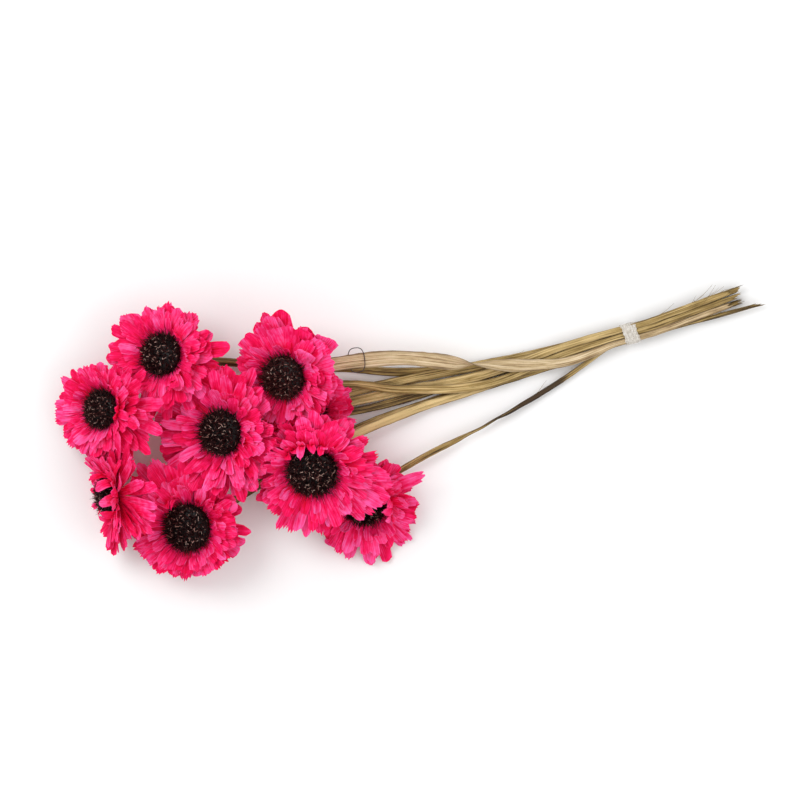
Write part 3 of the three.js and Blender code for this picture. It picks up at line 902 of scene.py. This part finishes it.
def strap(rng, name, middles, wides, halves, look, number, stands_for):
    """A dried strap along a CAD one, with its ridges, trough and ragged cut end, and the line that it follows."""
    marks = np.concatenate([[0], np.cumsum(np.linalg.norm(np.diff(middles, axis=0), axis=1))])
    places = np.linspace(0, marks[-1], max(8, int(marks[-1] / STRAP_STEP)))
    middle = resample(middles, marks, places)
    along = unit(np.gradient(middle, axis=0))
    wide = resample(wides, marks, places)
    wide = unit(wide - (wide * along).sum(1, keepdims=True) * along)
    thick = np.cross(along, wide)
    half = resample(halves, marks, places)
    mm = places / MM
    sway = np.radians(9) * wander(rng, mm, 70)
    wide, thick = (
        wide * np.cos(sway)[:, None] + thick * np.sin(sway)[:, None],
        thick * np.cos(sway)[:, None] - wide * np.sin(sway)[:, None],
    )
    end = smoothstep(mm / 25)
    broad = half[:, 0] / MM * look["broad"] * (1 + 0.05 * wander(rng, mm, 80)) * (0.85 + 0.15 * end)
    deep = half[:, 1] / MM * (0.85 + 0.12 * wander(rng, mm, 40))
    middle = middle + thick * (0.15 * MM * wander(rng, mm, 38))[:, None]
    w = np.linspace(-1, 1, STRAP_SIDES)
    phase, phase2 = rng.uniform(0, 2 * math.pi, 2)
    drift = 0.8 * wander(rng, mm, 160)[:, None]
    ridge = 0.13 * np.cos(3.1 * math.pi * w[None] + phase + drift) + 0.1 * np.cos(7.3 * math.pi * w[None] + phase2)
    trough = look["trough"] * (1 + 0.4 * wander(rng, mm, 110))[:, None] * (1.6 * np.abs(w[None] - 0.15) - 0.7)
    body = np.sqrt(np.clip(1 - np.abs(w[None]) ** 8, 0.1, 1))
    upper = deep[:, None] * (0.75 * body + 0.1) + ridge * body + trough
    lower = -deep[:, None] * (0.75 * body + 0.1) + 0.6 * ridge * body + trough
    edge = 1 + 0.02 * wander(rng, mm, 14)[:, None] * (np.abs(w[None]) > 0.9)
    side = broad[:, None] * w[None] * edge
    slant = np.zeros_like(side)
    ragged = 4.0 * rng.uniform(-1, 1) * w + rng.normal(0, 1.7, STRAP_SIDES)
    slant += np.exp(-mm / 4.5)[:, None] * ragged[None]
    grid = lambda lift, order: (
        middle[:, None]
        + wide[:, None] * (side[:, order] * MM)[..., None]
        + thick[:, None] * (lift[:, order] * MM)[..., None]
        + along[:, None] * (slant[:, order] * MM)[..., None]
    )
    forward = np.arange(STRAP_SIDES)
    points = np.concatenate([grid(upper, forward), grid(lower, forward[::-1])], axis=1)
    points[..., 2] = np.maximum(points[..., 2], STRAP_FLOOR)
    sides = 2 * STRAP_SIDES
    across = np.concatenate([side, side[:, ::-1] + 20], axis=1)
    ones = np.ones(across.shape)
    grain = np.stack([across, ones * mm[:, None], ones * (number * 31.0)], axis=-1)
    faces = tube_faces(len(places), sides)
    last = (len(places) - 1) * sides
    for j in range(STRAP_SIDES - 1):
        a, b, c, d = j, j + 1, sides - 2 - j, sides - 1 - j
        faces.append([d, c, b, a])
        faces.append([last + a, last + b, last + c, last + d])
    tone = np.full((len(places), sides), look["tone"]) - 0.2 * (1 - smoothstep((mm - 60) / 35))[:, None]
    if "dark" in look:
        start, stop = look["dark"]
        tone = tone - 1.2 * (smoothstep((mm - start) / 25) * smoothstep((stop - mm) / 40))[:, None]
    # mask for the painted shade along the strap's rolled edges
    edge_shade_mask = smoothstep((np.abs(w) - 0.62) / 0.38)
    rim = np.concatenate([edge_shade_mask, edge_shade_mask[::-1]])[None] * (0.75 + 0.25 * wander(rng, mm, 30)[:, None])
    material = STRAW_PALE if look.get("pale") else STRAW
    add_object(
        name, points.reshape(-1, 3), faces, material, stands_for=stands_for, slot="straw",
        sharp=50, grain=grain.reshape(-1, 3), tone=tone.ravel(), rim=rim.ravel(),
    )
    return middle, wide, along, mm


STRAP_LINES = {}


def build_stems():
    for number in HEADS:
        rng = np.random.default_rng(400 + number)
        middles, wides, halves = rings_of(f"stem_{number}")
        STRAP_LINES[number] = strap(
            rng, f"dried_stem_{number}", middles, wides, halves, STRAP_LOOKS[number], number, [f"stem_{number}"]
        )


# -------------------- tie, wire and fibres


TAPE_THICKNESS = 0.22 * MM
WIRE_DIAMETER = 0.7 * MM
WIRE_SIDES = 5  # of the CAD wire
FIBRE_DIAMETER = 0.38 * MM


def build_tie():
    """Three turns of creased tape, each a closed band that follows the bundle, slightly askew of the last."""
    rng = np.random.default_rng(500)
    low, high = (np.array(c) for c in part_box("tape_tie"))
    centre, half = (low + high) / 2, (high - low) / 2
    around, along = 72, 11
    angle = np.arange(around) * 2 * math.pi / around
    pile = Pile()
    for turn in range(3):
        skew = rng.uniform(-0.16, 0.16)
        width = half[0] * (0.92, 0.8, 0.7)[turn]
        shift = (0.0, 0.9, -1.1)[turn] * MM
        inset = (0.75, 0.45, 0.15)[turn] * MM
        x = np.linspace(-1, 1, along)
        power = 3.6
        c, s = np.cos(angle), np.sin(angle)
        radius = (np.abs(c) ** power + np.abs(s) ** power) ** (-1 / power)
        crease = sum(
            rng.uniform(0.3, 1) * np.sin(k * angle[None] + rng.uniform(0, 6) + rng.uniform(-2.5, 2.5) * x[:, None])
            for k in (3, 5, 8, 13, 19)
        ) * 0.16 * MM
        y = (half[1] - inset + crease) * radius[None] * c[None]
        z = (half[2] - inset * 0.6 + crease * 0.6) * radius[None] * s[None]
        ragged = 0.35 * MM * np.sin(7 * angle + rng.uniform(0, 6)) + 0.25 * MM * np.sin(17 * angle + rng.uniform(0, 6))
        place = x[:, None] * width + shift + skew * half[1] * c[None] + (np.abs(x) ** 3)[:, None] * ragged[None]
        outer = np.stack([centre[0] + place, centre[1] + y, centre[2] + z], axis=-1)
        middle = np.array([0, centre[1], centre[2]]) + np.array([1, 0, 0]) * outer[..., :1]
        inner = outer + unit(middle - outer) * TAPE_THICKNESS
        rings = np.concatenate([outer, inner[::-1]])  # round the band's section, then round the bundle
        points = rings.transpose(1, 0, 2).reshape(-1, 3)
        sides = 2 * along
        faces = tube_faces(around, sides, closed=True)
        length = np.repeat(angle * 8, sides)
        across = np.tile(np.concatenate([x, x[::-1] + 3]) * 5, around)
        points[:, 2] = np.maximum(points[:, 2], 0.1 * MM)
        grain = np.column_stack([across, length, np.full(len(across), turn * 9.0)])
        pile.add(points, np.array(faces)[:, ::-1], grain=grain)
    pile.build("wrapped_tape", TAPE, stands_for=["tape_tie"], slot="tape")


def round_cord(pile, path, diameter, sides=6, closed=False, seed=0.0, taper=1.0):
    """Adds a round cord along a path, closed on itself or with flat ends, its far end a share as thick."""
    path = np.asarray(path)
    step = np.roll(path, -1, 0) - np.roll(path, 1, 0) if closed else np.gradient(path, axis=0)
    along = unit(step)
    a = unit(np.cross(along, np.array([0.3, 0.2, 0.93])))
    b = np.cross(along, a)
    angle = np.arange(sides) * 2 * math.pi / sides
    shrink = np.linspace(1, taper, len(path))[:, None, None]
    ring = a[:, None] * np.cos(angle)[None, :, None] + b[:, None] * np.sin(angle)[None, :, None]
    points = (path[:, None] + ring * diameter / 2 * shrink).reshape(-1, 3)
    points[:, 2] = np.maximum(points[:, 2], 0.05 * MM)
    faces = tube_faces(len(path), sides, closed)
    length = np.concatenate([[0], np.cumsum(np.linalg.norm(np.diff(path, axis=0), axis=1))]) / MM
    grain = np.column_stack([np.tile(angle, len(path)), np.repeat(length, sides), np.full(len(points), seed)])
    ends = () if closed else end_faces(len(path), sides)
    pile.add(points, faces, ends, grain=grain, tone=np.full(len(points), 0.25), rim=np.zeros(len(points)))


def build_wire():
    """The wire loop, through the middles of its CAD sections."""
    points, _ = node_points("binding_wire")
    centre = points.mean(0)
    _, _, axes = np.linalg.svd(points - centre)
    flat = (points - centre) @ axes.T
    angle = np.arctan2(flat[:, 1], flat[:, 0])
    order = np.argsort(angle)
    sorted_angle = angle[order]
    gaps = np.diff(np.append(sorted_angle, sorted_angle[0] + 2 * math.pi))
    order = np.roll(order, -(int(np.argmax(gaps)) + 1))
    middles = points[order].reshape(-1, WIRE_SIDES, 3).mean(1)
    closed = np.concatenate([middles, middles[:1]])
    marks = np.arange(len(closed), dtype=float)
    path = resample(closed, marks, np.linspace(0, len(middles), 73)[:-1])
    pile = Pile()
    round_cord(pile, path, WIRE_DIAMETER, closed=True)
    pile.build("hooked_wire", WIRE, stands_for=["binding_wire"], slot="wire")


# Fibres that have split off: strap, how far from its cut end, length in mm, lean out to its side and up
FIBRES = [
    (2, 16, 22, 0.5, 0.55), (6, 20, 18, -0.3, 0.5), (3, 28, 14, 0.7, 0.3), (8, 215, 17, -0.8, 0.25),
    (3, 30, 24, 0.7, 0.6), (2, 34, 26, 0.9, 0.35), (3, 18, 20, 0.4, 0.8), (1, 22, 16, 0.6, 0.5),
    (5, 14, 14, 0.3, 0.7), (2, 48, 20, 0.6, 0.2), (3, 58, 22, 0.5, 0.25), (8, 190, 22, 0.5, 0.12),
    (7, 12, 12, -0.5, 0.4), (1, 34, 12, 0.8, 0.2), (5, 180, 14, 0.4, 0.4),
]


def build_fibres():
    """Loose fibres that have split off the straps, mostly near the cut ends."""
    rng = np.random.default_rng(600)
    pile = Pile()
    for number, place, length, out, up in FIBRES:
        middle, wide, along, mm = STRAP_LINES[number]
        i = int(np.searchsorted(mm, place))
        s = np.linspace(0, 1, 14)[:, None]
        wave = rng.normal(0, 0.12, 3)
        path = (
            middle[i]
            + wide[i] * np.sign(out) * 1.5 * MM
            - along[i] * s * length * MM * 0.9
            + wide[i] * out * s**1.6 * length * MM * 0.5
            + np.array([0, 0, 1.0]) * up * np.sin(s * 2.4) * length * MM * 0.35
            + wave * np.sin(s * 5) * length * MM * 0.2
        )
        round_cord(pile, path, FIBRE_DIAMETER, sides=5, seed=number * 5.0, taper=0.35)
    pile.build("loose_fibres", STRAW, slot="straw")


# -------------------- stage


FLOOR_SIZE, FLOOR_DROP = 4.0, 0.3 * MM  # half its width, and how far it lies under the part
CAMERA_HEIGHT = 5  # above what it looks at, in metres
AIM_FROM_TIE, AIM_HEIGHT = (-0.181, -0.0004), 0.04  # what the camera looks at, from the middle of the tie


def build_stage():
    m = Nodes("pale_floor", specular=0.0, Roughness=0.9)
    m.shader.inputs["Base Color"].default_value = (0.93, 0.93, 0.93, 1)
    corners = [(x * FLOOR_SIZE, y * FLOOR_SIZE, -FLOOR_DROP) for x, y in ((-1, -1), (1, -1), (1, 1), (-1, 1))]
    floor = add_object("floor", corners, [[0, 1, 2, 3]], m.material)

    world = bpy.data.worlds.new("studio")
    world.use_nodes = True
    background = world.node_tree.nodes["Background"]
    background.inputs["Color"].default_value = (1, 1, 1, 1)
    background.inputs["Strength"].default_value = 0.83
    bpy.context.scene.world = world

    low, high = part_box("tape_tie")
    aim = Vector(((low.x + high.x) / 2 + AIM_FROM_TIE[0], (low.y + high.y) / 2 + AIM_FROM_TIE[1], AIM_HEIGHT))

    def lamp(name, offset, size, power):
        data = bpy.data.lights.new(name, "AREA")
        data.shape, data.size, data.energy = "DISK", size, power
        made = bpy.data.objects.new(name, data)
        bpy.context.scene.collection.objects.link(made)
        made.location = aim + Vector(offset)
        made.rotation_euler = (aim - made.location).to_track_quat("-Z", "Y").to_euler()

    lamp("key", (-0.7, 0.9, 1.5), 1.1, 12.5)
    lamp("fill", (0.9, -0.8, 1.4), 1.4, 6)

    camera = bpy.data.cameras.new("camera")
    camera.sensor_width, camera.lens = 36, 300
    made = bpy.data.objects.new("camera", camera)
    bpy.context.scene.collection.objects.link(made)
    made.location = aim + Vector((0, 0, CAMERA_HEIGHT))
    made.rotation_euler = (0, 0, math.radians(CAMERA_TURN))
    camera.clip_start, camera.clip_end = 0.1, 20
    bpy.context.scene.camera = made
    bpy.context.scene.view_settings.view_transform = "Standard"
    bpy.context.scene.view_settings.look = "None"


build_stage()
for head in HEADS:
    build_petals(head)
    build_disc(head)
    build_calyx(head)
build_stems()
build_tie()
build_wire()
build_fibres()

bpy.context.view_layer.update()
